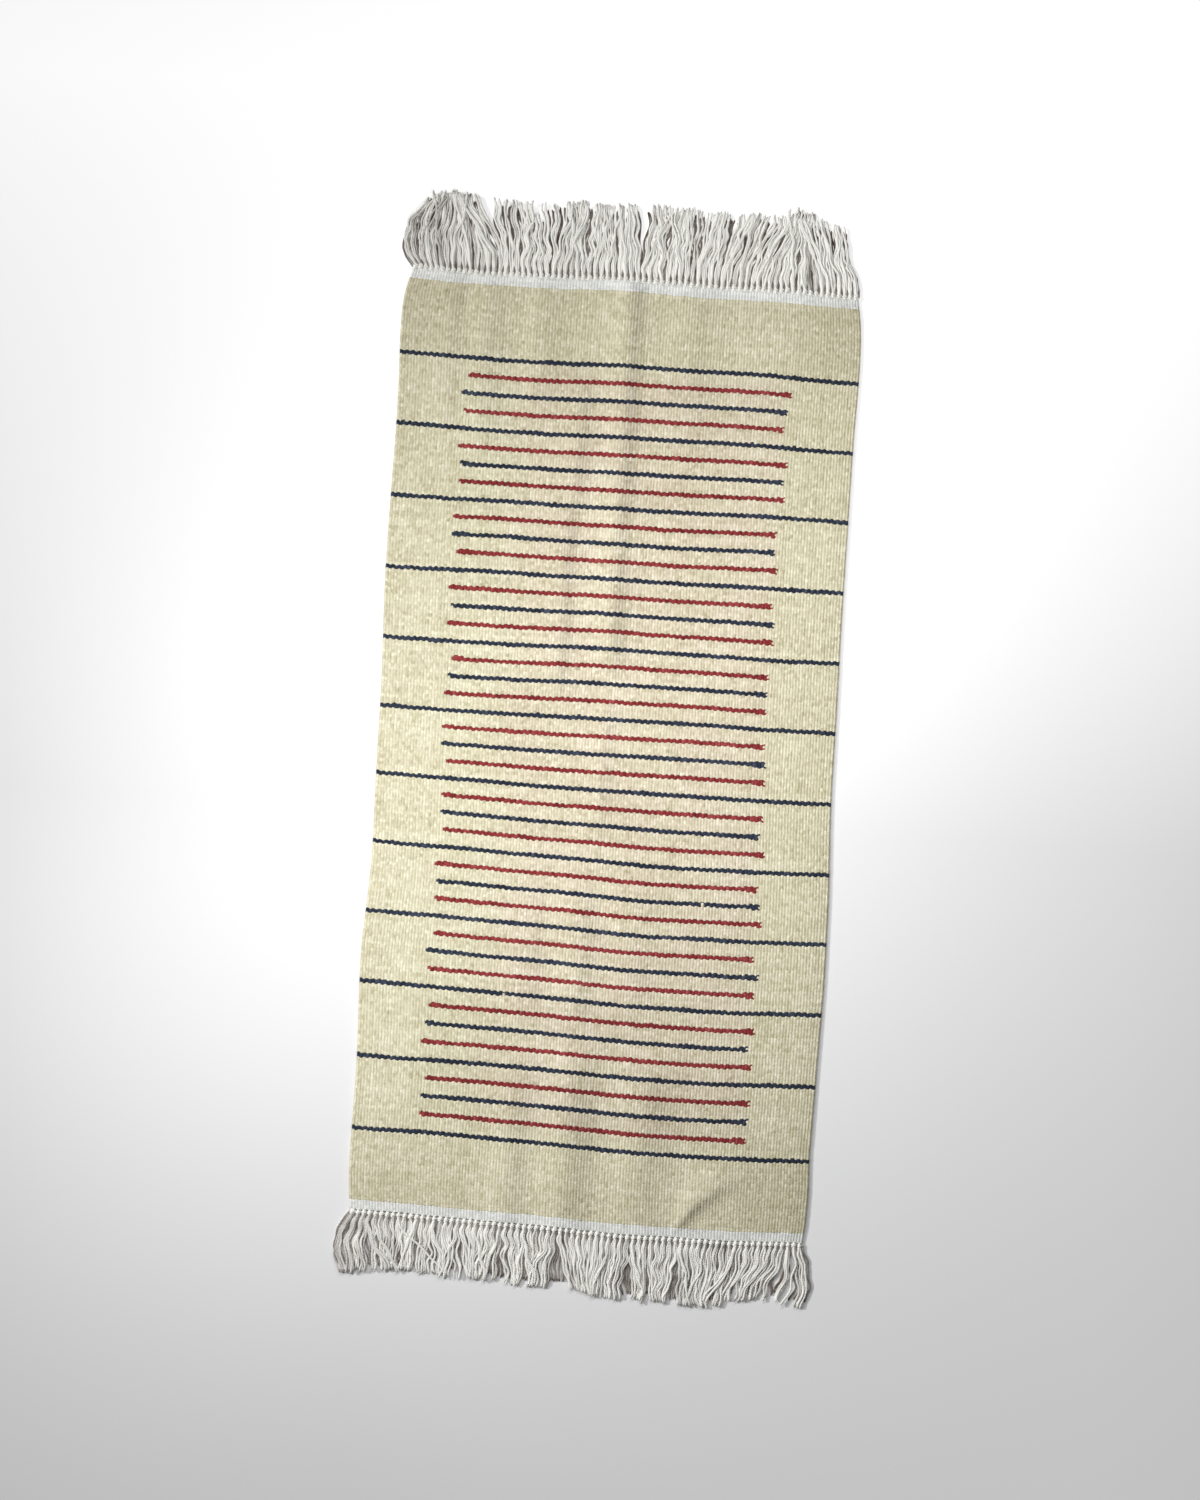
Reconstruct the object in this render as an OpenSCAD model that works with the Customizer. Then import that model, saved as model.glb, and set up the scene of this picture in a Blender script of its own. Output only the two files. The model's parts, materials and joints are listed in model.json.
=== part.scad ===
// Flat-woven wool runner with cotton headings and knotted fringes, lying flat.
// X runs across the rug and Y along it. The floor is Z = 0, and the origin is the
// middle of the underside, fringes included. "Top" is the +Y end, which has the
// longer fringe, and "bottom" is the -Y end.
// Each run of yarn is a separate piece. Full-width navy lines part the cloth into
// bays. In a bay, a border runs along each edge, and short stripes and strips of
// ground weave take turns in the panel between the borders. The cloth folds in the
// middle of one strip near each end, so that strip and its borders are in two parts.

/* [Cloth] */
// Width of the woven cloth
rug_w = 600; // [500:10:1000]
// Thickness of the woven wool
cloth_t = 4.5; // [3:0.1:8]
// Length of plain ground weave at each end
end_band_l = 95.25; // [40:0.25:150]

/* [Stripes] */
// Number of bays between the full-width lines
bays = 11; // [10:1:11]
// Length of plain or striped ground weave in one bay
bay_l = 88.5; // [60:0.5:140]
// Width of each coloured line, measured along the rug
line_w = 5.5; // [3:0.5:8]
// Length of the short stripes, measured across the rug
stripe_l = 424; // [200:2:460]
// Distance between neighbouring short stripes in a bay
stripe_pitch = 23.5; // [12:0.5:26]
// Slit between a border and the panel, where the yarns of each turn back
slit_w = 0.2; // [0.1:0.1:1]

/* [Folds] */
// Bay whose first strip holds the top fold
top_fold_bay = 10; // [7:1:10]
// Bay whose last strip holds the bottom fold
bottom_fold_bay = 3; // [1:1:5]

/* [Ends] */
// Length of the white cotton heading at each end
heading_l = 13; // [5:1:30]
// Thickness of the cotton heading
heading_t = 3.8; // [2:0.1:4.5]
// Number of knots along each end
knots = 76; // [40:1:90]
// Length of a knot, measured along the rug
knot_l = 7; // [5:0.5:10]
// Diameter of a knot
knot_d = 6; // [3:0.5:6]
// Length of the free tassels at the top end, beyond their knots
top_tassel_l = 96; // [40:1:150]
// Length of the free tassels at the bottom end
bottom_tassel_l = 72; // [40:1:150]
// Thickness of a tassel lying flat
tassel_t = 3; // [2:0.1:4]

/* [Hidden] */
$fn = 32;
full_lines = bays + 1;
bay_pitch = bay_l + line_w;
ground_l = bays * bay_pitch + line_w + 2 * end_band_l;
ground_end = ground_l / 2;
heading_end = ground_end + heading_l;
knot_end = heading_end + knot_l;
knot_pitch = rug_w / knots;
// Where the middle of the cloth lies, so that the origin is central
cloth_y = (bottom_tassel_l - top_tassel_l) / 2;
border_w = (rug_w - stripe_l) / 2 - slit_w;
// The strips beside the middle stripe, and those next to the full-width lines
inner_strip_l = stripe_pitch - line_w;
outer_strip_l = bay_l / 2 - stripe_pitch - line_w / 2;
outer_strip_offset = bay_l / 2 - outer_strip_l / 2;
// The neck and belly widths of a tassel, and the narrow ends of a knot
tassel_neck = 0.55 * knot_pitch;
tassel_belly = 0.9 * knot_pitch;
tassel_tip = 0.4 * knot_pitch;
knot_neck_d = 0.6 * knot_d;

function line_y(i) = cloth_y + (i - (full_lines + 1) / 2) * bay_pitch;
function bay_y(i) = (line_y(i) + line_y(i + 1)) / 2;
function fold_y(i, side) = bay_y(i) + side * outer_strip_offset;
function numbered(name, i) = str(name, "_", i < 10 ? "0" : "", i);

// A flat block centred on x = 0 and on the given y, standing on the floor
module slab(w, l, t, y) {
    translate([-w / 2, y - l / 2, 0]) cube([w, l, t]);
}

// Draws its children at the top end, or turned end for end at the bottom
module at_end(side) {
    translate([0, cloth_y, 0]) rotate(side > 0 ? 0 : 180) children();
}

module end_band(side) {
    color("#BEB48C") at_end(side)
        slab(rug_w, end_band_l, cloth_t, ground_end - end_band_l / 2);
}

// The ground weave of one bay: two borders and four strips
module ground_weave(i) {
    for (side = [-1, 1]) {
        translate([side * (rug_w - border_w) / 2, 0, 0])
            slab(border_w, bay_l, cloth_t, bay_y(i));
        slab(stripe_l, inner_strip_l, cloth_t, bay_y(i) + side * stripe_pitch / 2);
        slab(stripe_l, outer_strip_l, cloth_t, bay_y(i) + side * outer_strip_offset);
    }
}

// What lies on one side of the line y = y_cut: above it for 1 and below it for -1
module beyond(y_cut, side) {
    intersection() {
        children();
        translate([0, 0, -1])
            slab(rug_w + 2, bay_pitch, cloth_t + 2, y_cut + side * bay_pitch / 2);
    }
}

module ground_bay(i) {
    color("#D6CDA7")
        if (i == top_fold_bay) beyond(fold_y(i, -1), 1) ground_weave(i);
        else if (i == bottom_fold_bay) beyond(fold_y(i, 1), -1) ground_weave(i);
        else ground_weave(i);
}

// The part of a folding bay that stays with the middle of the rug
module fold_strip(i, side) {
    color("#D6CDA7") beyond(fold_y(i, side), side) ground_weave(i);
}

module navy_line(i) {
    color("#202C3E") slab(rug_w, line_w, cloth_t, line_y(i));
}

module navy_stripe(i) {
    color("#202C3E") slab(stripe_l, line_w, cloth_t, bay_y(i));
}

module red_stripes(i) {
    color("#8C2D30") for (row = [-1, 1])
        slab(stripe_l, line_w, cloth_t, bay_y(i) + row * stripe_pitch);
}

module heading(side) {
    color("#E1E4E0") at_end(side)
        slab(rug_w, heading_l, heading_t, ground_end + heading_l / 2);
}

// A knot is a barrel that lies on the floor, with its axis along the rug
module knot() {
    translate([0, 0, knot_d / 2]) rotate([-90, 0, 0])
        rotate_extrude() polygon([
            [0, 0], [knot_neck_d / 2, 0], [knot_d / 2, 0.3 * knot_l],
            [knot_d / 2, 0.7 * knot_l], [knot_neck_d / 2, knot_l], [0, knot_l]
        ]);
}

// A tassel widens from its knot, and its strands end in a blunt tip
module tassel(l) {
    linear_extrude(tassel_t) polygon([
        [-tassel_neck / 2, 0], [-tassel_belly / 2, 0.3 * l],
        [-tassel_belly / 2, 0.94 * l], [-tassel_tip / 2, l],
        [tassel_tip / 2, l], [tassel_belly / 2, 0.94 * l],
        [tassel_belly / 2, 0.3 * l], [tassel_neck / 2, 0]
    ]);
}

// Repeats its child once for each knot, from the given y outwards
module along_end(side, y) {
    at_end(side) for (k = [0:knots - 1])
        translate([(k + 0.5) * knot_pitch - rug_w / 2, y, 0]) children();
}

module knot_row(side) {
    color("#DAD6D0") along_end(side, heading_end) knot();
}

module fringe(side) {
    color("#CDC8C3") along_end(side, knot_end)
        tassel(side > 0 ? top_tassel_l : bottom_tassel_l);
}

end_band(-1);  // end_band_bottom
end_band(1);  // end_band_top
for (i = [1:bays]) {
    ground_bay(i);
    navy_stripe(i);
    red_stripes(i);
}
fold_strip(bottom_fold_bay, 1);  // fold_strip_bottom
fold_strip(top_fold_bay, -1);  // fold_strip_top
for (i = [1:full_lines])
    navy_line(i);
heading(-1);  // heading_bottom
heading(1);  // heading_top
knot_row(-1);  // knots_bottom
knot_row(1);  // knots_top
fringe(-1);  // fringe_bottom
fringe(1);  // fringe_top
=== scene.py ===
"""The looks of a flat-woven runner rug: weave, stripes, headings, knots and fringes.

The cloth is one grid of beads. Each bead is the stretch of weft that shows between two
crossings: ribs run along the rug, and bead rows run across it. Every woven piece is a
set of the grid's cells, so neighbouring pieces meet along the rows of beads.
Sizes are in metres, and those of the pieces come from the frame. Short lengths are
written in millimetres and multiplied by MM.
"""
import json
import math

import bpy
import numpy as np
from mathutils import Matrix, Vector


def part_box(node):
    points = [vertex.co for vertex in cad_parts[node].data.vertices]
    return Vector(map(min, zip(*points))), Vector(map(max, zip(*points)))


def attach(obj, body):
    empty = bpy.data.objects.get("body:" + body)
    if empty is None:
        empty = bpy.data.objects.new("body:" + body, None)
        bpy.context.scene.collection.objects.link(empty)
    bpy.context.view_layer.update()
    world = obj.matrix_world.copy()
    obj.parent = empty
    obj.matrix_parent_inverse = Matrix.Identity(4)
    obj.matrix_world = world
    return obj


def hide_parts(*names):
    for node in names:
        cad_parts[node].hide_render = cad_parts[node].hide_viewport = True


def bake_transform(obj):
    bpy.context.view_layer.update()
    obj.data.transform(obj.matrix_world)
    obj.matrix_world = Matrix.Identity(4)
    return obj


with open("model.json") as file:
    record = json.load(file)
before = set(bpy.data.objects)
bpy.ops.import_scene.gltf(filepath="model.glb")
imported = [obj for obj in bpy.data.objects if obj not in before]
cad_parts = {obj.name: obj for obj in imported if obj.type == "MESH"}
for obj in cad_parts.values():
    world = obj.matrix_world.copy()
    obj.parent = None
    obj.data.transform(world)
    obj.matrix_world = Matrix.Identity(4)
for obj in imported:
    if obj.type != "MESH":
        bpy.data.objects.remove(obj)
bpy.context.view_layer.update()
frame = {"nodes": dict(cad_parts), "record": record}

MM = 0.001

# ---------------------------------------------------------------- sizes from the frame


def extent(node, axis):
    """Where a CAD node begins and ends along X, Y or Z."""
    low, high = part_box(node)
    return low["XYZ".index(axis)], high["XYZ".index(axis)]


BAYS = sum(name.startswith("ground_bay") for name in frame["nodes"])
RUG_W = 2 * extent("navy_line_01", "X")[1]
CLOTH_T = extent("navy_line_01", "Z")[1]
HEADING_T = extent("heading_top", "Z")[1]
CLOTH_LOW = extent("end_band_bottom", "Y")[0]
CLOTH_HIGH = extent("end_band_top", "Y")[1]
CLOTH_MID = (CLOTH_LOW + CLOTH_HIGH) / 2
FOLD_TOP_Y = extent("fold_strip_top", "Y")[1]
FOLD_BOTTOM_Y = extent("fold_strip_bottom", "Y")[0]
KNOT_END = {1: extent("knots_top", "Y")[1], -1: extent("knots_bottom", "Y")[0]}
TASSEL_L = {side: abs(extent(f"fringe_{end}", "Y")[side > 0] - KNOT_END[side])
            for side, end in ((1, "top"), (-1, "bottom"))}

# ---------------------------------------------------------------- the weave

RIBS = 152
KNOTS = RIBS // 2
SUB = 4  # mesh cells across a rib, and along a bead
RIB_W = RUG_W / RIBS
COLUMNS = RIBS * SUB
STRIP_ROWS = 4
END_ROWS = 20
HEADING_ROWS = 4
RIB_DEPTH = 0.85 * MM
SEAM_SHARE = 0.34  # how deep the seam between two beads is, as a share of RIB_DEPTH
ZIGZAG = 0.165  # how far neighbouring ribs are out of step, as a share of a bead
RIB_PROFILE = np.array([0.0, 0.80, 1.0, 0.80])
BEAD_PROFILE = np.array([1.0, 0.25, 0.0, 0.25])
BEAD_SPREAD = 0.13  # how unequal the beads' heights are
BEAD_LIMITS = (0.72, 1.12)
THINNING_REACH = 6  # grid rows on either side, over which the cloth thins towards a heading
# How thick the cloth is near its long edges and its ends: (grid lines from the edge, share)
SIDE_ROUNDING = ([0, 1, 2], [0.30, 0.78, 1.0])
END_ROUNDING = ([0, 1, 3], [0.55, 0.85, 1.0])


def smooth(t):
    t = np.clip(t, 0, 1)
    return t * t * (3 - 2 * t)


def bump(value, centre, width):
    return np.exp(-(((value - centre) / width) ** 2))


def ripples(seed, wave_x, wave_y, count=14):
    """A smooth random field with waves of about these lengths. Its spread is about 1."""
    rng = np.random.default_rng(seed)
    turns = rng.normal(0, 1, (count, 2)) * 2 * math.pi / np.array([wave_x, wave_y])
    phases = rng.uniform(0, 2 * math.pi, count)

    def field(x, y):
        waves = [np.sin(a * x + b * y + p) for (a, b), p in zip(turns, phases)]
        return sum(waves) / math.sqrt(count / 2)

    return field


def bead_rows():
    """Every row of beads, from the bottom heading to the top one: (low, high, piece, stripe)."""
    rows = []

    def add(low, high, count, piece, stripe=None):
        edges = np.linspace(low, high, count + 1)
        rows.extend((a, b, piece, stripe) for a, b in zip(edges[:-1], edges[1:]))

    add(*extent("heading_bottom", "Y"), HEADING_ROWS, "heading_bottom")
    add(*extent("end_band_bottom", "Y"), END_ROWS, "end_band_bottom")
    for bay in range(1, BAYS + 1):
        line = f"navy_line_{bay:02d}"
        ground = f"ground_bay_{bay:02d}"
        red = f"red_stripes_{bay:02d}"
        navy = f"navy_stripe_{bay:02d}"
        add(*extent(line, "Y"), 1, line)
        navy_low, navy_high = extent(navy, "Y")
        red_low, red_high = extent(red, "Y")
        stripe_w = navy_high - navy_low
        y = extent(line, "Y")[1]
        for stripe, low in ((red, red_low), (navy, navy_low), (red, red_high - stripe_w)):
            add(y, low, STRIP_ROWS, ground)
            y = low + stripe_w
            add(low, y, 1, ground, stripe)
        add(y, extent(f"navy_line_{bay + 1:02d}", "Y")[0], STRIP_ROWS, ground)
    line = f"navy_line_{BAYS + 1:02d}"
    add(*extent(line, "Y"), 1, line)
    add(*extent("end_band_top", "Y"), END_ROWS, "end_band_top")
    add(*extent("heading_top", "Y"), HEADING_ROWS, "heading_top")
    return rows


ROWS = bead_rows()
CELL_ROWS = len(ROWS) * SUB

# ---------------------------------------------------------------- how the cloth lies

drift_x = ripples(11, 0.55, 0.40)
drift_y = ripples(12, 0.30, 0.45)
unevenness = ripples(13, 0.045, 0.016, 20)
hand = ripples(14, 0.010, 0.007, 24)
swell = ripples(15, 0.33, 0.50)

# How far the corners are drawn in, in mm: (left, right) at the top and at the bottom
TOP_PULL = (11.0, 6.0)
BOTTOM_PULL = (3.5, 4.5)
PULL_REACH = 28 * MM
PULL_BEYOND = 13 * MM  # the pull is centred this far past the cloth's ends
HAND = 0.10 * MM  # how far single beads stray from their places


def lie(x, y):
    """Where the cloth's point (x, y) lies in plan: the hand-made outline and the slanting wefts."""
    across = x / (RUG_W / 2)
    v = y - CLOTH_MID
    # How much wider the rug is along its length, and how far it swings to the right, in mm
    wider = 3.6 - 1.5 * bump(v, 0.02, 0.16) + 4.0 * bump(v, -0.29, 0.09) + 2.0 * bump(v, 0.54, 0.07)
    sideways = 0.4 - 1.6 * bump(v, 0.25, 0.15) + 2.4 * bump(v, -0.17, 0.09) - 3.2 * bump(v, -0.56, 0.10)
    to_end = (CLOTH_HIGH - CLOTH_LOW) / 2 + PULL_BEYOND - np.abs(v)
    corner = np.exp(-((np.clip(to_end, 0, None) / PULL_REACH) ** 1.4))
    pull = np.where(v > 0, np.where(x < 0, *TOP_PULL), np.where(x < 0, *BOTTOM_PULL)) * MM
    out_x = x + across * (wider * MM - pull * corner * np.abs(across) ** 3) + sideways * MM
    out_x = out_x + 0.4 * MM * drift_x(x, y)
    # The edges stand out a little more at the bottom right and near the top left
    out_x = out_x + 2.5 * MM * np.clip(across, 0, 1) * smooth((-0.50 - v) / 0.06)
    out_x = out_x + 1.5 * MM * np.clip(-across, 0, 1) * bump(v, 0.48, 0.10)

    # How far the wefts slant and bow, and how unevenly they are beaten up, in mm
    slant = -5.2 * np.tanh(x / 0.12) + 5.0 * across**2 - 2.0
    slant = slant * smooth((0.10 - v) / 0.26) * (1 - 0.25 * bump(v, -0.42, 0.06))
    top_bow = 3.0 * smooth((-x - 0.16) / 0.16) + 2.2 * bump(x, -0.02, 0.07)
    top_bow = top_bow - 3.2 * smooth((x - 0.17) / 0.13)
    top_bow = top_bow * smooth((v - 0.22) / 0.30)
    beaten = 3.6 * bump(v, -0.28, 0.14) - 3.4 * smooth((v + 0.02) / 0.22) - 2.6 * bump(v, -0.52, 0.06)
    out_y = y + (slant + top_bow + beaten) * MM + 0.6 * MM * drift_y(x, y) + 0.28 * MM * unevenness(x, y)
    return out_x + HAND * hand(x, y), out_y + HAND * hand(y, x)


# Creases along the rug: (place across in mm, from and to along the rug in m, widths of their left and
# right flanks and height in mm). The light comes from the left, so a steep right flank looks dark.
CREASES = (
    (-5, 0.08, 0.72, 21, 17, 6.4),
    (-72, 0.04, 0.36, 26, 13, 4.8),
    (-63, 0.30, 0.52, 26, 13, 4.0),
    (-6, -0.14, 0.10, 15, 14, 3.2),
    (-22, -0.38, -0.14, 30, 20, 3.8),
    (50, -0.38, -0.14, 30, 28, 2.8),
    (-84, -0.38, -0.14, 24, 15, 1.8),
    (-22, -0.72, -0.36, 31, 30, 6.4),
    (72, -0.72, -0.38, 36, 34, 4.8),
    (-98, -0.72, -0.40, 28, 20, 3.4),
    (-196, 0.36, 0.72, 16, 24, 3.6),
    (-242, 0.38, 0.72, 20, 16, 2.4),
    (-124, 0.40, 0.72, 18, 30, 3.0),
    (78, 0.40, 0.72, 36, 30, 2.6),
)
# The share of a crease's height that is real. Folded layers have to clear each other, so the
# material shows the rest as slope.
CREASE_RELIEF = 0.25
CREASE_FADE = 0.07  # over this length a crease begins and ends
CORNER_CREASE = (28, 12, 5.0)  # the same three last numbers, for the crease across a corner


def ridge(off, left_width, right_width):
    """A ridge that falls off at a different rate on its left and its right."""
    return bump(off, 0, np.where(off < 0, left_width, right_width))


def crease_places(x, y):
    """For each crease: how far (x, y) is to its right, how present it is there, and its crease."""
    v = y - CLOTH_MID
    for crease in CREASES:
        place, start, end = crease[:3]
        along = smooth((v - start) / CREASE_FADE) * smooth((end - v) / CREASE_FADE)
        yield x - place * MM - 0.5 * MM * drift_y(y, x), along, crease


def near_edge(x):
    """The share of its height that the cloth keeps at its two long edges, where it comes down."""
    return smooth((0.300 - np.abs(x)) / 0.03 + 0.4)


def creasing(x, y):
    """How high the creases stand: soft ones along the cloth, and a sharper one across a corner."""
    v = y - CLOTH_MID
    # Small ripples near the bottom heading
    total = 0.5 * np.sin(x / 0.024 + 3 * np.sin(x / 0.11)) * bump(v, -0.60, 0.07)
    for off, along, (_, _, _, left, right, height) in crease_places(x, y):
        total = total + height * along * ridge(off, left * MM, right * MM)
    # The corner crease curves from the heading up towards the rug's edge, and fades there
    over = x - 0.137
    off = (1.147 * over - 5.6 * over**2 - 0.604 - v) * 0.8
    fade = smooth((x - 0.118) / 0.03) * smooth((0.245 - x) / 0.09)
    left, right, height = CORNER_CREASE
    total = total + height * ridge(off, left * MM, right * MM) * fade
    return total * near_edge(x) * MM


def lift(x, y):
    """How far the cloth really stands off the floor."""
    swelling = (0.6 + 0.3 * (1 + np.tanh(swell(x, y)))) * near_edge(x) * MM
    return swelling + CREASE_RELIEF * creasing(x, y)


def cloth_grid():
    """The grid's top and underside vertices, each an array of rows x columns x 3."""
    low = np.array([r[0] for r in ROWS])
    high = np.array([r[1] for r in ROWS])
    steps = np.arange(SUB) / SUB
    v = np.append((low[:, None] + (high - low)[:, None] * steps).ravel(), high[-1])
    bead_l = np.append(np.repeat(high - low, SUB), high[-1] - low[-1])
    bead_l[1:-1] = (bead_l[1:-1] + bead_l[:-2]) / 2
    is_heading = np.array([r[2].startswith("heading") for r in ROWS], float)
    cotton = np.append(np.repeat(is_heading, SUB), 1.0)
    cotton[1:-1] = (cotton[1:-1] + cotton[:-2]) / 2

    column = np.arange(COLUMNS + 1)
    x = column * (RUG_W / COLUMNS) - RUG_W / 2
    in_rib = column % SUB
    in_bead = np.arange(CELL_ROWS + 1) % SUB
    out_of_step = np.sin(math.pi * in_rib / SUB) * np.where(column // SUB % 2, -1, 1)

    # The cotton of the headings is woven more evenly than the wool
    x_grid, v_grid = np.meshgrid(x, v)
    slip = np.outer(bead_l * (1 - 0.75 * cotton), ZIGZAG * out_of_step)
    px, py = lie(x_grid, v_grid + slip)

    rng = np.random.default_rng(21)
    bead_size = 1 + BEAD_SPREAD * rng.standard_normal((len(ROWS) + 1, RIBS + 1))
    bead_size = np.repeat(np.repeat(bead_size, SUB, 0), SUB, 1)[: CELL_ROWS + 1, : COLUMNS + 1]
    bead_size = np.clip(bead_size, *BEAD_LIMITS)
    seam = np.outer(SEAM_SHARE * (1 - 0.6 * cotton), np.ones(COLUMNS + 1)) * BEAD_PROFILE[in_bead][:, None]
    relief = RIB_DEPTH * RIB_PROFILE[in_rib][None, :] * (1 - seam) * bead_size

    # The cloth thins towards the heading over a few rows, so the two meet without a step
    window = 2 * THINNING_REACH + 1
    padded = np.pad(cotton, THINNING_REACH, mode="edge")
    thinning = np.clip(np.convolve(padded, np.ones(window) / window, "valid"), 0, 1)
    half = CLOTH_T / 2 + (HEADING_T - CLOTH_T) / 2 * thinning
    body = half[:, None] - RIB_DEPTH + relief
    from_side = np.minimum(column, COLUMNS - column)
    body = body * np.interp(from_side, *SIDE_ROUNDING)[None, :]
    from_end = np.minimum(np.arange(CELL_ROWS + 1), CELL_ROWS - np.arange(CELL_ROWS + 1))
    body = body * np.interp(from_end, *END_ROUNDING)[:, None]

    middle = lift(px, py) + half[:, None]
    top = np.stack([px, py, middle + body], 2)
    return top, np.stack([px, py, middle - body], 2), relief / RIB_DEPTH


GRID_TOP, GRID_UNDER, GRID_CROWN = cloth_grid()
GRID_POINTS = np.concatenate([GRID_TOP.reshape(-1, 3), GRID_UNDER.reshape(-1, 3)])


# Where the dark yarn dips under a warp and the ground shows: (piece, ground, x)
SKIPS = (("navy_line_03", "ground_bay_03", -0.114), ("navy_stripe_04", "ground_bay_04", 0.133))


def cell_owners():
    """The name of the piece that each of the grid's cells belongs to."""
    names = sorted({r[2] for r in ROWS} | {r[3] for r in ROWS if r[3]})
    number = {name: i for i, name in enumerate(names)}
    owner = np.repeat(np.array([number[r[2]] for r in ROWS]), SUB)[:, None]
    owner = np.repeat(owner, COLUMNS, 1)
    rng = np.random.default_rng(31)
    panel_low, panel_high = extent("navy_stripe_01", "X")
    first = round((panel_low + RUG_W / 2) / RIB_W) * SUB
    last = round((panel_high + RUG_W / 2) / RIB_W) * SUB
    for i, (_, _, ground, stripe) in enumerate(ROWS):
        if not stripe:
            continue
        r = i * SUB
        a = first + SUB * int(rng.integers(-1, 2))
        b = last - SUB + SUB * int(rng.integers(-1, 2))
        owner[r : r + SUB, a:b] = number[stripe]
        # It starts as a point, and its first turn is a little thick
        owner[r, a : a + 3] = number[ground]
        if rng.random() < 0.7:
            owner[r + SUB, a + 2 : a + SUB * int(rng.integers(2, 6))] = number[stripe]
        # It ends thick and forked, where the yarn turns back round the last warps
        thick = SUB * int(rng.integers(2, 5))
        owner[r + SUB, b - thick : b + 1] = number[stripe]
        owner[r - 1, b - thick + 3 : b + 1] = number[stripe]
        upper, lower = rng.integers(1, 4, 2)
        owner[r + SUB - 1 : r + SUB + 1, b : b + int(upper)] = number[stripe]
        owner[r - 1 : r + 1, b : b + int(lower)] = number[stripe]
    for i, (_, _, piece, _) in enumerate(ROWS):
        if piece.startswith("navy_line"):
            # Now and then a new length of yarn overlaps the last one
            for column in rng.integers(SUB, COLUMNS - 3 * SUB, 3):
                owner[i * SUB + SUB, column : column + 5] = number[piece]
    for stripe, ground, x in SKIPS:
        r = SUB * [row[3] or row[2] for row in ROWS].index(stripe)
        c = SUB * round((x + RUG_W / 2) / RIB_W)
        owner[r : r + SUB - 1, c : c + SUB] = number[ground]
    return names, owner


PIECE_NAMES, OWNER = cell_owners()


def yarn_tones():
    """How light each cell's yarn is, around 0: every bead, every pick and longer streaks of the yarn."""
    rng = np.random.default_rng(41)
    beads = rng.standard_normal((len(ROWS), RIBS))
    picks = rng.standard_normal((len(ROWS), 1))
    pairs = np.where(np.arange(RIBS) % 2, 0.5, -0.5)[None, :]
    ribs = rng.standard_normal((1, RIBS))
    rows_mid = np.array([(r[0] + r[1]) / 2 for r in ROWS])
    ribs_mid = (np.arange(RIBS) + 0.5) * RIB_W - RUG_W / 2
    x, y = np.meshgrid(ribs_mid, rows_mid)
    patches = ripples(42, 0.030, 0.022, 20)(x, y)
    clouds = ripples(43, 0.16, 0.22)(x, y)
    tone = 0.50 * beads + 0.14 * picks + 0.10 * pairs + 0.12 * ribs + 0.12 * patches + 0.12 * clouds
    return np.repeat(np.repeat(tone, SUB, 0), SUB, 1)


FULLY_SHADED_CREASE = 10  # a crease as high as this, in mm, gets the full painted shade on its right flank


def painted_shade():
    """How much painted shade each vertex gets: on the creases' right flanks, at the corners and towards
    the top end.
    """
    x, y = GRID_TOP[..., 0], GRID_TOP[..., 1]
    shade_and_soil = 0 * x
    # Painted shade on the creases' right flanks, which face away from the light
    for off, along, (_, _, _, _, right, height) in crease_places(x, y):
        shade_and_soil = shade_and_soil + height / FULLY_SHADED_CREASE * along * bump(off, 0.75 * right * MM, 0.7 * right * MM)
    v = y - CLOTH_MID
    # Painted shade at the corners and towards the top end, where the light falls off
    corners = smooth((np.abs(x) - 0.17) / 0.11) * smooth((np.abs(v) - 0.47) / 0.10)
    return shade_and_soil + 0.50 * corners + 0.30 * smooth((v - 0.47) / 0.08)


def dye_stain():
    """How pink each vertex of the ground is: the stripes' dye has run a little into the panel."""
    x, v = GRID_TOP[..., 0], GRID_TOP[..., 1] - CLOTH_MID
    panel = smooth((x + 0.19) / 0.10) * smooth((0.225 - x) / 0.030) * smooth((0.52 - np.abs(v)) / 0.03)
    return panel * (0.8 + 0.2 * np.tanh(ripples(44, 0.10, 0.12)(x, v)))


CELL_TONE = yarn_tones()
GRID_STAIN = dye_stain()
GRID_PAINTED_SHADE = painted_shade()
GRID_CREASE = (1 - CREASE_RELIEF) * creasing(GRID_TOP[..., 0], GRID_TOP[..., 1])
# What the wool's material reads at each vertex: (attribute, on top, underneath)
VERTEX_FIELDS = (
    ("crown", GRID_CROWN, GRID_CROWN),
    ("stain", GRID_STAIN, GRID_STAIN),
    ("shade_and_soil", GRID_PAINTED_SHADE, GRID_PAINTED_SHADE),
    ("crease", GRID_CREASE, -GRID_CREASE),
)

# ---------------------------------------------------------------- meshes


def make_mesh(name, points, face_sets):
    """A smooth mesh object from points and arrays of faces, one array for each number of corners."""
    mesh = bpy.data.meshes.new(name)
    sizes = np.concatenate([np.full(len(f), f.shape[1]) for f in face_sets])
    corners = np.concatenate([f.ravel() for f in face_sets])
    mesh.vertices.add(len(points))
    mesh.vertices.foreach_set("co", points.astype(np.float32).ravel())
    mesh.loops.add(len(corners))
    mesh.loops.foreach_set("vertex_index", corners.astype(np.int32))
    mesh.polygons.add(len(sizes))
    starts = np.concatenate([[0], np.cumsum(sizes)[:-1]])
    mesh.polygons.foreach_set("loop_start", starts.astype(np.int32))
    mesh.polygons.foreach_set("use_smooth", np.ones(len(sizes), bool))
    mesh.update(calc_edges=True)
    mesh.validate()
    obj = bpy.data.objects.new(name, mesh)
    bpy.context.collection.objects.link(obj)
    return obj


def set_attribute(obj, name, kind, domain, values):
    attribute = obj.data.attributes.new(name, kind, domain)
    field = "vector" if kind == "FLOAT_VECTOR" else "value"
    attribute.data.foreach_set(field, values.astype(np.float32).ravel())


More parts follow.
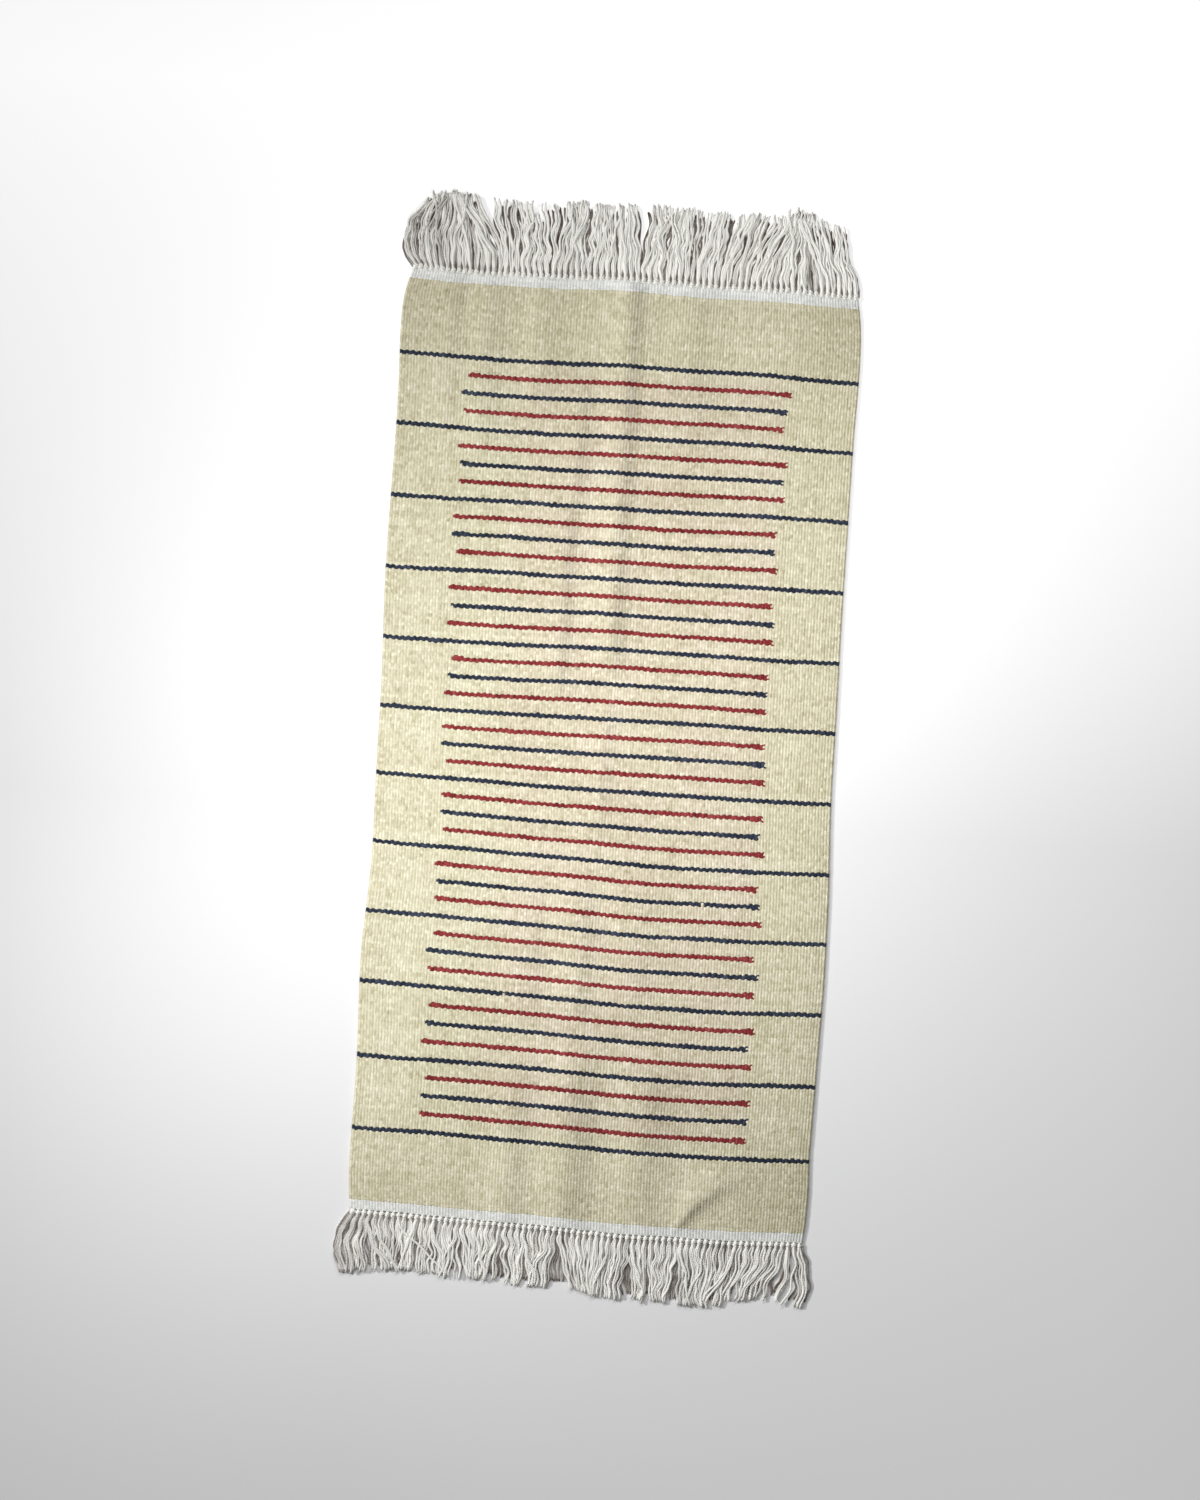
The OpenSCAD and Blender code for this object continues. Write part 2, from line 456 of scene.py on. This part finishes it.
def woven_piece(name):
    """A closed mesh of the grid's cells that belong to one piece: top, underside and walls."""
    cells = OWNER == PIECE_NAMES.index(name)
    r, c = np.nonzero(cells)
    stride = COLUMNS + 1
    below = GRID_TOP.shape[0] * stride

    def at(dr, dc):
        return (r + dr) * stride + c + dc

    top = np.stack([at(0, 0), at(0, 1), at(1, 1), at(1, 0)], 1)
    faces = [top, top[:, ::-1] + below]
    tones = [CELL_TONE[r, c], CELL_TONE[r, c]]
    padded = np.pad(cells, 1)
    sides = (
        ((-1, 0), at(0, 0), at(0, 1)),
        ((1, 0), at(1, 1), at(1, 0)),
        ((0, -1), at(1, 0), at(0, 0)),
        ((0, 1), at(0, 1), at(1, 1)),
    )
    for (dr, dc), a, b in sides:
        edge = ~padded[r + 1 + dr, c + 1 + dc]
        faces.append(np.stack([a + below, b + below, b, a], 1)[edge])
        tones.append(CELL_TONE[r, c][edge])
    used, faces = np.unique(np.concatenate(faces), return_inverse=True)
    obj = make_mesh(f"{name}_weave", GRID_POINTS[used], [faces.reshape(-1, 4)])
    obj.data.set_sharp_from_angle(angle=math.radians(78))
    set_attribute(obj, "tone", "FLOAT", "FACE", np.concatenate(tones))
    for field, over, under in VERTEX_FIELDS:
        values = np.concatenate([over.ravel(), under.ravel()])[used]
        set_attribute(obj, field, "FLOAT", "POINT", values)
    return obj


TUBE_SIDES = 8


def tubes(name, paths, radii, tones, low_tones):
    """Closed tubes along paths of the same number of points, with a tone on top and one underneath, which
    paint shade round each tube.

    The paths are (tubes, rings, 3), the radii (tubes, rings), and the tones spread to that.
    """
    count, rings, _ = paths.shape
    along = np.gradient(paths, axis=1)
    along /= np.linalg.norm(along, axis=2, keepdims=True)
    up = np.zeros_like(along)
    up[..., 2] = 1
    across = np.cross(along, up)
    across /= np.linalg.norm(across, axis=2, keepdims=True)
    over = np.cross(across, along)
    angle = np.arange(TUBE_SIDES) * 2 * math.pi / TUBE_SIDES
    ring = across[:, :, None] * np.cos(angle)[:, None] + over[:, :, None] * np.sin(angle)[:, None]
    points = paths[:, :, None] + ring * radii[:, :, None, None]

    index = np.arange(count * rings * TUBE_SIDES).reshape(count, rings, TUBE_SIDES)
    turned = np.roll(index, -1, 2)
    walls = np.stack([index[:, :-1], index[:, 1:], turned[:, 1:], turned[:, :-1]], -1).reshape(-1, 4)
    caps = np.concatenate([index[:, 0], index[:, -1, ::-1]])
    obj = make_mesh(name, points.reshape(-1, 3), [walls, caps])

    length = np.linalg.norm(np.diff(paths, axis=1), axis=2).cumsum(1)
    length = np.concatenate([np.zeros((count, 1)), length], 1)
    ply = np.empty((count, rings, TUBE_SIDES, 3))
    ply[..., 0] = np.cos(angle)
    ply[..., 1] = np.sin(angle)
    ply[..., 2] = length[:, :, None]
    set_attribute(obj, "ply", "FLOAT_VECTOR", "POINT", ply)
    tones = np.broadcast_to(tones, (count, rings))[..., None]
    low_tones = np.broadcast_to(low_tones, (count, rings))[..., None]
    # Painted shade: each ring blends from the underside's tone below to the top's tone above
    tones = low_tones + (tones - low_tones) * (0.5 + 0.5 * np.sin(angle))
    set_attribute(obj, "tone", "FLOAT", "POINT", tones)
    return obj


# ---------------------------------------------------------------- knots and tassels

KNOT_W = RUG_W / KNOTS
KNOT_X = (np.arange(KNOTS) + 0.5) * KNOT_W - RUG_W / 2
KNOT_L = abs(KNOT_END[1] - extent("heading_top", "Y")[1])
KNOT_Z = 3.1 * MM  # how high a knot's middle is where the cloth lies flat
KNOT_FOLLOWS = 0.8  # the share of the cloth's lift that a knot follows
WRAPS = 2.3
WRAP_R = 1.3 * MM
COIL_R = 1.95 * MM
COIL_L = 4.6 * MM
CORE_R = 2.2 * MM
CORE_HALF_L = 4.2 * MM


def knot_places(side):
    """Where each knot's outer end lies, and how high its cloth is. The rug's ends aren't straight."""
    edge = KNOT_END[side] - side * KNOT_L
    x, y = lie(KNOT_X, np.full(KNOTS, edge))
    return x, y + side * KNOT_L, lift(x, y)


def knots(name, side):
    """Each knot is a strand wrapped twice round its bundle, on a slant."""
    rng = np.random.default_rng(51 + side)
    x, y, rise = knot_places(side)
    rings = 36
    t = np.linspace(0, 1, rings)
    size = rng.uniform(0.92, 1.10, (KNOTS, 1))
    turn = 2 * math.pi * (WRAPS * t + rng.uniform(0, 1, (KNOTS, 1)))
    swelling = 0.45 + 0.55 * np.sin(math.pi * t) ** 0.6
    coil_r = COIL_R * size * swelling
    advance = (t - 0.5) * COIL_L * size
    dx = coil_r * np.cos(turn)
    dz = coil_r * np.sin(turn)
    slant = rng.normal(0.35, 0.12, (KNOTS, 1))
    wrap = np.stack([dx + slant * advance, advance - slant * 0.6 * dx, dz + 0 * dx], 2)
    core_t = np.linspace(-1, 1, rings)
    core = np.zeros((KNOTS, rings, 3))
    core[..., 1] = core_t * CORE_HALF_L
    core_r = CORE_R * np.sqrt(np.clip(1 - 0.60 * core_t**2, 0, 1)) * np.ones((KNOTS, 1))
    centre = np.stack([x, y - side * KNOT_L / 2, KNOT_Z + rise * KNOT_FOLLOWS], 1)[:, None]
    paths = np.concatenate([wrap + centre, core + centre])
    radii = np.concatenate([WRAP_R * size * np.ones(rings), core_r])
    tones = np.concatenate([rng.normal(1.5, 0.2, KNOTS), rng.normal(0.8, 0.2, KNOTS)])
    # The knots' undersides are darker: painted shade
    return tubes(name, paths, radii, tones[:, None], tones[:, None] - 0.6)


# How far the tassels lean sideways at their tips, from left to right: (knot, lean in mm).
# Two close knots with different leans make a parting.
LEAN = {
    1: ((0, 12), (1, 9), (3, 1), (4.4, -2), (4.6, 4), (7, 3), (8, -4), (10, -14), (13, -30), (15.4, -46),
        (15.6, -18), (18, -12), (22, -5), (26, 5), (30, 0), (34, -3), (38.4, -5), (38.6, 4), (42, 7),
        (46, 6), (50, 14), (54, 26), (57, 28), (60, 22), (62.5, 12), (64, 8), (66.4, 2), (66.6, -14),
        (68.4, -22), (68.6, -14), (70, -12), (72, -13), (75, -20)),
    -1: ((0, -9), (1, -8), (2, -6), (3, -2), (5, 3), (8, 0), (14, -3), (17, 2), (20.4, 5), (20.6, -5),
         (24, -3), (27, 4), (30, -3), (37, 2), (41, -3), (46, 5), (50, 0), (54, -5), (56.4, -9),
         (56.6, 4), (60, 0), (63, -12), (66, -24), (69, -26), (71, -20), (73.4, -8), (73.6, 6), (75, 7)),
}
# Strands that lie across their neighbours: (knot, lean in mm, how many)
STRAYS = {
    1: ((2, 22, 2), (5, -14, 2), (7, 16, 2), (10, -26, 2), (13, -46, 3), (14, -50, 3), (19, 6, 2),
        (24, 20, 2), (26, 26, 3), (28, -16, 2), (31, 16, 2), (33, 14, 2), (36, -14, 2), (39, 34, 1),
        (42, -8, 2), (45, -14, 2), (48, 24, 3), (52, 36, 2), (55, 12, 2), (58, 38, 2), (61, 26, 2),
        (64, -8, 2), (69, -34, 4), (70, -38, 3), (72, -28, 3)),
    -1: ((0, -11, 3), (0, -6, 3), (1, -6, 3), (1, -1, 3), (2, 2, 3), (3, 28, 3), (4, 33, 3), (8, 62, 1),
         (11, -18, 2), (14, 20, 2), (18, -16, 2), (21, 17, 2), (25, -15, 2), (29, 18, 2), (33, -20, 2),
         (38, 16, 1), (43, -18, 2), (47, 18, 2), (55, 18, 2), (59, -22, 2), (64, -34, 3), (70, -36, 2),
         (74, -10, 1)),
}
# How far they bow sideways half way along, and how much longer or shorter the tassels are, in mm
BOW = {
    1: ((0, -18), (1, -15), (2, -11), (4.4, -9), (4.6, -4), (6, -5), (8, -2), (12, 3), (15.4, 5),
        (15.6, 0), (66, 0), (75, -2)),
    -1: ((0, -13), (1, -10), (2, -6), (4, 0), (72, 0), (74, 6), (75, 7)),
}
REACH = {
    1: ((0, -10), (2, -2), (4, 3), (8, 6), (14, 4), (16, 1), (20.4, 0), (20.8, -13), (22.2, -15),
        (22.6, 0), (40, 1), (58, 0), (61, 8), (63, 13), (66, 10), (68, 3), (69, 0), (73, -2), (75, -10)),
    -1: ((0, 8), (4, 2), (7, 0), (20, 2), (37, 4), (41, 8), (50, 10), (56, 12), (62, 10), (67, 2),
         (72, -1), (74, 5), (75, 9)),
}
# How much painted shade or painted light each tassel gets: the shaded ones lie under their neighbours
SHADE = {
    1: ((0, -0.7), (3, -0.5), (9, -0.3), (15.4, -0.2), (15.6, 0.1), (40, 0.2), (66.4, 0.4), (66.6, -1.2),
        (68.4, -1.0), (68.6, 0.4), (75, 0.4)),
    -1: ((0, -0.8), (3, -0.6), (6, -0.3), (12, -0.1), (36, 0.1), (60, -0.1), (75, 0.1)),
}

STRANDS = 3
# The under strands are dark and fill the gaps between the tassels: a painted shadow there
UNDER_STRANDS = 3
MAIN, UNDER, STRAY = 0, 1, 2  # the kinds of strand
STRAND_R = 1.42 * MM
RINGS = {1: 62, -1: 52}
LAYER_H = 2.6 * MM  # how much higher a strand lies for each layer of height
NECK_Z = 0.9 * MM  # how far above or below a knot's middle its strands come out
# How dark the under strands are on top, as painted shadow
UNDER_SHADOW_TONE = {1: -1.9, -1: -1.5}
ANY_TURN = 6.28  # the end of the range that starts of waves are drawn from
FRINGE_PARTS = 4


def strands(side):
    """The centrelines, radii, tones and underside tones of one fringe's strands, sorted by knot."""
    rng = np.random.default_rng(71 + side)
    base_x, base_y, rise = knot_places(side)
    main = np.tile(np.linspace(-1, 1, STRANDS), (KNOTS, 1))
    under = np.tile(np.linspace(-1, 1, UNDER_STRANDS), (KNOTS, 1))
    stray = np.array([(k, lean) for k, lean, many in STRAYS[side] for _ in range(many)])
    knot = np.concatenate([np.repeat(np.arange(KNOTS), STRANDS + UNDER_STRANDS), stray[:, 0].astype(int)])
    place = np.concatenate([main, under], 1).ravel()
    place = np.concatenate([place, rng.uniform(-0.6, 0.6, len(stray))])[:, None]
    kind = np.tile([MAIN] * STRANDS + [UNDER] * UNDER_STRANDS, KNOTS)
    stray_lean = np.concatenate([0.0 * kind, stray[:, 1]])[:, None]
    kind = np.concatenate([kind, np.full(len(stray), STRAY)])[:, None]
    order = np.argsort(knot, kind="stable")
    knot, place, kind, stray_lean = knot[order], place[order], kind[order], stray_lean[order]
    count = len(knot)
    t = np.linspace(0, 1, RINGS[side])[None, :]

    def by_knot(points, spread=0.0):
        values = np.interp(np.arange(KNOTS), *np.array(points).T)
        return (values + spread * rng.standard_normal(KNOTS))[knot][:, None]

    def one_each(low, high):
        return rng.uniform(low, high, (count, 1))

    def per_tassel(low, high):
        return rng.uniform(low, high, KNOTS)[knot][:, None]

    # Neighbouring tassels cling together in locks of a few
    lock = np.cumsum(rng.random(KNOTS) < 0.38)
    lock_mid = np.array([np.mean(np.nonzero(lock == n)[0]) for n in lock])

    def per_lock(low, high):
        return rng.uniform(low, high, lock.max() + 1)[lock[knot]][:, None]

    reach = by_knot(REACH[side], 1.0) + per_lock(-2.0, 1.5) + one_each(-3.0, 1.0) - 4 * (kind == UNDER)
    out = (TASSEL_L[side] + reach * MM) * t

    gather = -0.36 * (knot - lock_mid[knot])[:, None] * KNOT_W / MM * (kind == MAIN)
    lean = by_knot(LEAN[side], 0.8) + per_lock(-1.6, 1.6) + rng.normal(0, 1.3, (count, 1)) + gather
    lean = np.where(kind == STRAY, stray_lean + rng.normal(0, 2.0, (count, 1)), lean)
    kick = (per_lock(-2.2, 0.4) + per_tassel(-0.9, 0.9)) * bump(t, 0.15, 0.09)
    lean_now = lean * (0.5 * smooth((t - 0.04) / 0.92) + 0.5 * t**1.7)
    sweep = lean_now + by_knot(BOW[side], 0.5) * np.sin(math.pi * t) ** 1.2 + kick

    narrowing = 1 - per_tassel(0.0, 0.5) * smooth((t - 0.6) / 0.4)
    top_fan = (0.9 + 1.3 * smooth((t - 0.02) / 0.10) + 0.6 * smooth((t - 0.25) / 0.6)) * narrowing
    under_fan = 3.7 + 0.6 * smooth(t / 0.12)
    fan = place * np.where(kind == UNDER, under_fan, top_fan)
    grow = smooth((t - 0.04) / 0.35)

    def wave(size, length, turn):
        """A sideways wave: its size and length in mm, and where it starts."""
        return size * np.sin(2 * math.pi * out / (length * MM) + turn)

    waves = wave(per_lock(0.7, 2.2), per_lock(34, 60), per_lock(0, ANY_TURN))
    waves = waves + wave(per_tassel(0.2, 1.1), per_tassel(22, 44), per_tassel(0, ANY_TURN))
    waves = waves + wave(one_each(0.3, 1.0), one_each(16, 38), one_each(0, ANY_TURN))
    waves = waves + wave(one_each(0.0, 0.12), one_each(9, 15), one_each(0, ANY_TURN))
    x = base_x[knot][:, None] + (sweep + fan + waves * grow) * MM

    settle = np.exp(-out / (10 * MM)) * np.where(kind == UNDER, 0.3, 1.0)
    layer = rng.choice([0.3, 0.6, 0.9], (count, 1)) + 0.25 * (lock[knot] % 2)[:, None]
    layer = np.where(kind == UNDER, 0.0, np.where(kind == STRAY, 1.4, layer))
    swing = wave(0.2, one_each(30, 70), one_each(0, ANY_TURN))
    height = np.clip(layer + swing * (kind == MAIN), 0, 1.4)
    rest = 1.15 * STRAND_R + height * LAYER_H
    neck = NECK_Z * (1 - np.abs(place)) * np.sign(layer - 0.5)
    start_z = KNOT_Z + neck + KNOT_FOLLOWS * rise[knot][:, None]
    z = rest + (start_z - rest) * settle
    start = np.where(kind == UNDER, 5.5, 1.4) * MM
    y = base_y[knot][:, None] + side * (out - start)

    radii = STRAND_R * one_each(0.85, 1.15) * np.interp(t, [0, 0.94, 0.985, 1], [1, 1, 0.85, 0.4])
    paths = np.stack([x, y + 0 * x, z], 2)
    # Painted shade: the lower strands are darker, and so are the necks just past the knots and some tips.
    # The under strands are painted dark as the shadow between the tassels, less so near the knots
    tones = rng.normal(0.95, 0.38, (count, 1)) + per_tassel(-0.2, 0.2)
    tones = tones + 1.1 * (np.minimum(height, 0.7) - 0.7)
    under_shadow_tone = UNDER_SHADOW_TONE[side] + 1.5 * np.exp(-out / (6 * MM))
    tones = np.where(kind == UNDER, under_shadow_tone, tones + by_knot(SHADE[side]))
    tones = tones - one_each(0, 1.2) * smooth((t - 0.93) / 0.05) - 0.35 * bump(out, 3.0 * MM, 1.8 * MM)
    # Underneath, painted shade: the upper strands are darker below, and the under strands, painted dark on
    # top, are bright below
    low_tones = np.where(kind == UNDER, 0.7, tones - 0.8)
    return paths, radii, tones, low_tones


def fringe(name, side):
    """One fringe, as a few pieces side by side."""
    paths, radii, tones, low_tones = strands(side)
    parts = []
    for i, part in enumerate(np.array_split(np.arange(len(paths)), FRINGE_PARTS)):
        obj = tubes(f"{name}_{i + 1}", paths[part], radii[part], tones[part], low_tones[part])
        parts.append(obj)
    return parts


# ---------------------------------------------------------------- materials


class Nodes:
    """A short way to build a node tree."""

    def __init__(self, name):
        self.material = bpy.data.materials.new(name)
        self.material.use_nodes = True
        self.tree = self.material.node_tree
        self.shader = self.tree.nodes["Principled BSDF"]

    def add(self, kind, inputs=None, **settings):
        node = self.tree.nodes.new("ShaderNode" + kind)
        for key, value in settings.items():
            setattr(node, key, value)
        for key, value in (inputs or {}).items():
            self.set(node.inputs[key], value)
        return node

    def set(self, socket, value):
        if isinstance(value, bpy.types.NodeSocket):
            self.tree.links.new(value, socket)
        else:
            socket.default_value = value

    def math(self, operation, a, b=0.0):
        return self.add("Math", {0: a, 1: b}, operation=operation).outputs[0]

    def attribute(self, name, output="Fac"):
        return self.add("Attribute", attribute_name=name).outputs[output]

    def noise(self, scale, stretch=(1, 1, 1), detail=2.0):
        """Noise of about this many waves in a metre."""
        place = self.add("TexCoord").outputs["Object"]
        place = self.add("Mapping", {"Vector": place, "Scale": stretch}).outputs[0]
        inputs = {"Vector": place, "Scale": scale, "Detail": detail}
        return self.add("TexNoise", inputs).outputs[0]

    def mix(self, factor, a, b, blend="MIX"):
        node = self.add("Mix", data_type="RGBA", blend_type=blend, clamp_factor=True)
        self.set(node.inputs[0], factor)
        self.set(node.inputs[6], a)
        self.set(node.inputs[7], b)
        return node.outputs[2]

    def ramp(self, value, low, high, to_low=0.0, to_high=1.0):
        inputs = {"Value": value, "From Min": low, "From Max": high, "To Min": to_low, "To Max": to_high}
        return self.add("MapRange", inputs).outputs[0]

    def shade_grooves(self, colour):
        """Paints shade into a colour in the grooves between the ribs and beads."""
        groove = self.ramp(self.attribute("crown"), 0.85, 0.10, 0.0, 0.5)
        return self.mix(groove, colour, GROOVE_SHADE, "MULTIPLY")

    def surface(self, height, strength, distance):
        """Sets the shader's normal: a fine relief on top of the cloth's creases."""
        creases = {"Height": self.attribute("crease"), "Strength": 1.0, "Distance": 1.0}
        fine = {"Height": height, "Strength": strength, "Distance": distance}
        fine["Normal"] = self.add("Bump", creases).outputs[0]
        self.set(self.shader.inputs["Normal"], self.add("Bump", fine).outputs[0])


GROOVE_SHADE = (0.66, 0.64, 0.59, 1.0)
STAIN_SHADE = (0.982, 0.934, 0.980, 1.0)
# The tint that painted shade multiplies the wool by
PAINTED_SHADE_TINT = (0.89, 0.88, 0.865, 1.0)
PLY_L = 4.2 * MM  # the length of one full twist of the plies


def linear(r, g, b):
    """A colour written as it looks on screen, from 0 to 255."""
    return tuple(((c / 255 + 0.055) / 1.055) ** 2.4 if c > 10 else c / 3295 for c in (r, g, b)) + (1.0,)


def wool(name, dark, middle, light, contrast, heather):
    """Hand-spun wool: every bead has its own tone, with flecks and fuzz, and painted shade in the grooves.
    """
    n = Nodes(name)
    tone = n.math("MULTIPLY", n.attribute("tone"), contrast)
    streak = n.math("SUBTRACT", n.noise(420, (1, 0.35, 1), 3), 0.5)
    fleck = n.math("SUBTRACT", n.noise(1500, (0.5, 1.4, 1.4), 2), 0.5)
    tone = n.math("ADD", tone, n.math("MULTIPLY", streak, 4.0 * heather))
    tone = n.math("ADD", tone, n.math("MULTIPLY", fleck, 1.6 * heather))
    darker = n.mix(n.ramp(tone, 0.0, -1.0), middle, dark)
    colour = n.mix(n.ramp(tone, 0.0, 1.0), darker, light)
    colour = n.shade_grooves(colour)
    colour = n.mix(n.attribute("stain"), colour, STAIN_SHADE, "MULTIPLY")
    # Painted shade on the creases' right flanks, at the corners and towards the top end
    colour = n.mix(n.attribute("shade_and_soil"), colour, PAINTED_SHADE_TINT, "MULTIPLY")
    n.set(n.shader.inputs["Base Color"], colour)
    n.set(n.shader.inputs["Roughness"], 0.92)
    n.set(n.shader.inputs["Specular IOR Level"], 0.25)
    n.set(n.shader.inputs["Sheen Weight"], 0.12)
    n.set(n.shader.inputs["Sheen Roughness"], 0.5)
    n.surface(n.noise(2600, (0.35, 1.5, 1.5), 3), 0.55, 0.25 * MM)
    return n.material


def cotton(name, dark, light, plied):
    """Plied cotton: two plies twist round each other in a strand, and each strand has its own tone."""
    n = Nodes(name)
    # Here the slow noise is soil only: a random change of tone
    shade_and_soil = n.math("SUBTRACT", n.noise(45, (1, 1, 1), 3), 0.5)
    fleck = n.math("SUBTRACT", n.noise(900, (1, 1, 1), 2), 0.5)
    tone = n.math("ADD", n.math("MULTIPLY", n.attribute("tone"), 0.5), n.math("MULTIPLY", shade_and_soil, 1.2))
    tone = n.math("ADD", tone, n.math("MULTIPLY", fleck, 0.9))
    colour = n.mix(n.ramp(tone, -1.0, 0.45), dark, light)
    # The heading's grooves get painted shade
    if not plied:
        colour = n.shade_grooves(colour)
    n.set(n.shader.inputs["Base Color"], colour)
    n.set(n.shader.inputs["Roughness"], 0.85)
    n.set(n.shader.inputs["Specular IOR Level"], 0.3)
    n.set(n.shader.inputs["Sheen Weight"], 0.15)
    n.set(n.shader.inputs["Sheen Roughness"], 0.5)
    height = n.noise(2200, (1, 1, 1), 3)
    if plied:
        round_and_along = n.add("SeparateXYZ", {0: n.attribute("ply", "Vector")}).outputs
        angle = n.math("ARCTAN2", round_and_along[1], round_and_along[0])
        turn = n.math("MULTIPLY", round_and_along[2], 2 * math.pi / PLY_L)
        groove = n.math("ABSOLUTE", n.math("SINE", n.math("ADD", angle, turn)))
        height = n.math("ADD", n.math("MULTIPLY", groove, 1.6), height)
    n.surface(height, 0.6, 0.22 * MM)
    return n.material


BEIGES = (linear(184, 176, 141), linear(222, 216, 187), linear(250, 246, 223))
NAVIES = (linear(24, 30, 42), linear(42, 50, 66), linear(76, 84, 100))
REDS = (linear(100, 30, 33), linear(142, 49, 51), linear(172, 84, 82))
MATERIALS = {
    "ground_wool": wool("beige_wool", *BEIGES, contrast=0.42, heather=0.6),
    "navy_wool": wool("navy_wool", *NAVIES, contrast=0.5, heather=0.7),
    "red_wool": wool("red_wool", *REDS, contrast=0.5, heather=0.7),
    "white_cotton": cotton("white_cotton", linear(208, 211, 205), linear(248, 249, 246), plied=False),
    # The fringe cotton's dark end is the painted shadow of the under strands and the painted shade of the
    # lower strands
    "fringe_cotton": cotton("fringe_cotton", linear(96, 80, 70), linear(250, 249, 243), plied=True),
}


def finish_piece(obj, slot, *nodes):
    """Gives a piece its material and slot, and lets it stand for its CAD nodes."""
    obj.data.materials.append(MATERIALS[slot])
    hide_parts(*nodes)
    return obj


# ---------------------------------------------------------------- the pieces and what they ride on

SLOTS = {record["node"]: record["material_slot"] for record in frame["record"]["subparts"]}
BODY_OF = {node: body for body, nodes in frame["record"]["behaviour"]["bodies"].items() for node in nodes}
EXTRA_NODES = {"ground_bay_03": ["fold_strip_bottom"], "ground_bay_10": ["fold_strip_top"]}
# The bottom fold goes over the top one, so it turns in a wider bend
TOP_BEND = 9 * MM
BOTTOM_BEND = 13 * MM
FOLDS = (
    ("centre_panel", "top_panel", FOLD_TOP_Y - TOP_BEND, FOLD_TOP_Y + TOP_BEND),
    ("centre_panel", "bottom_panel", FOLD_BOTTOM_Y + BOTTOM_BEND, FOLD_BOTTOM_Y - BOTTOM_BEND),
)


def hold(obj, body):
    """Keeps a piece that crosses a fold of the cloth where it lies, unattached, and otherwise lets it ride
    on its body.
    """
    places = np.array([vertex.co.y for vertex in obj.data.vertices])
    for inner, outer, start, end in FOLDS:
        if places.min() < max(start, end) and places.max() > min(start, end):
            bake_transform(obj)
            return
    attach(obj, body)


pieces = {}
for piece_name in PIECE_NAMES:
    piece = woven_piece(piece_name)
    finish_piece(piece, SLOTS[piece_name], piece_name, *EXTRA_NODES.get(piece_name, []))
    hold(piece, BODY_OF[piece_name])
    pieces[piece_name] = piece

for side, end in ((1, "top"), (-1, "bottom")):
    row = finish_piece(knots(f"knots_{end}_yarn", side), "fringe_cotton", f"knots_{end}")
    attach(row, f"{end}_panel")
    pieces[f"knots_{end}"] = row
    for part in fringe(f"fringe_{end}", side):
        finish_piece(part, "fringe_cotton", f"fringe_{end}")
        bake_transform(part)
        pieces[part.name] = part

# ---------------------------------------------------------------- floor, light and camera


def studio():
    """A pale floor, painted a little lighter towards the rug's top: painted light. It glows a little
    beyond the rug's top and on its right, where the lamps reach less: painted light too."""
    bpy.ops.mesh.primitive_plane_add(size=30)
    floor = bpy.context.object
    floor.name = "floor"
    paint = Nodes("pale_floor")
    place = paint.add("SeparateXYZ", {0: paint.add("TexCoord").outputs["Object"]}).outputs
    shade = paint.mix(paint.ramp(place[1], -0.6, 0.9), linear(238, 238, 239), linear(244, 244, 244))
    paint.set(paint.shader.inputs["Base Color"], shade)
    paint.set(paint.shader.inputs["Emission Color"], (1, 1, 1, 1))
    beyond = paint.ramp(place[1], -0.1, 0.85, 0.02, 0.46)
    beside = paint.ramp(place[0], -0.3, 0.7, 0.0, 0.09)
    paint.set(paint.shader.inputs["Emission Strength"], paint.math("ADD", beyond, beside))
    paint.set(paint.shader.inputs["Roughness"], 0.8)
    floor.data.materials.append(paint.material)


studio()
for i in range(1, BAYS + 1):
    on_it = [pieces[f"{kind}_{i:02d}"] for kind in ("navy_line", "navy_stripe", "red_stripes")]
for side, end in ((1, "top"), (-1, "bottom")):
    on_it = [pieces[f"heading_{end}"], pieces[f"knots_{end}"]]
    on_it += [pieces[f"fringe_{end}_{i + 1}"] for i in range(FRINGE_PARTS)]
    if side > 0:
        on_it.append(pieces[f"navy_line_{BAYS + 1:02d}"])


def lamp(name, kind, place, turn, energy, **settings):
    data = bpy.data.lights.new(name, kind)
    data.energy = energy
    for key, value in settings.items():
        setattr(data, key, value)
    obj = bpy.data.objects.new(name, data)
    obj.location = place
    obj.rotation_euler = [math.radians(angle) for angle in turn]
    obj.visible_camera = False
    bpy.context.collection.objects.link(obj)


# A long lamp close over the rug's left, so the light falls off towards its ends
LAMP_PLACE = (-0.145, -0.010, 0.77)
LAMP_SIZE = {"shape": "RECTANGLE", "size": 1.27, "size_y": 0.20}
lamp("overhead", "AREA", LAMP_PLACE, (0, 0, 36.6), 6.9, **LAMP_SIZE)
# A low one from the left, which brings out the creases
lamp("window", "SUN", (-1.0, 0.3, 0.75), (59, 0, 253), 1.90, angle=math.radians(7))
SKY = 0.12
world = bpy.data.worlds.new("studio_sky")
world.use_nodes = True
world.node_tree.nodes["Background"].inputs[0].default_value = (1, 1, 1, 1)
world.node_tree.nodes["Background"].inputs[1].default_value = SKY
bpy.context.scene.world = world
bpy.context.scene.view_settings.view_transform = "Standard"

# The camera looks straight down, turned a little, and sees as much as 1.987 m of floor along the rug
FRAME_L = 1.987
LENS = 85.0
SENSOR = 36.0
CAMERA_TURN = 3.47  # degrees
CAMERA_X = -7.3 * MM
CAMERA_Y = CLOTH_MID + 5.6 * MM
camera_data = bpy.data.cameras.new("camera")
camera_data.lens = LENS
camera_data.sensor_width = SENSOR
camera = bpy.data.objects.new("camera", camera_data)
camera.location = (CAMERA_X, CAMERA_Y, FRAME_L * LENS / SENSOR)
camera.rotation_euler = (0, 0, math.radians(CAMERA_TURN))
bpy.context.collection.objects.link(camera)
bpy.context.scene.camera = camera
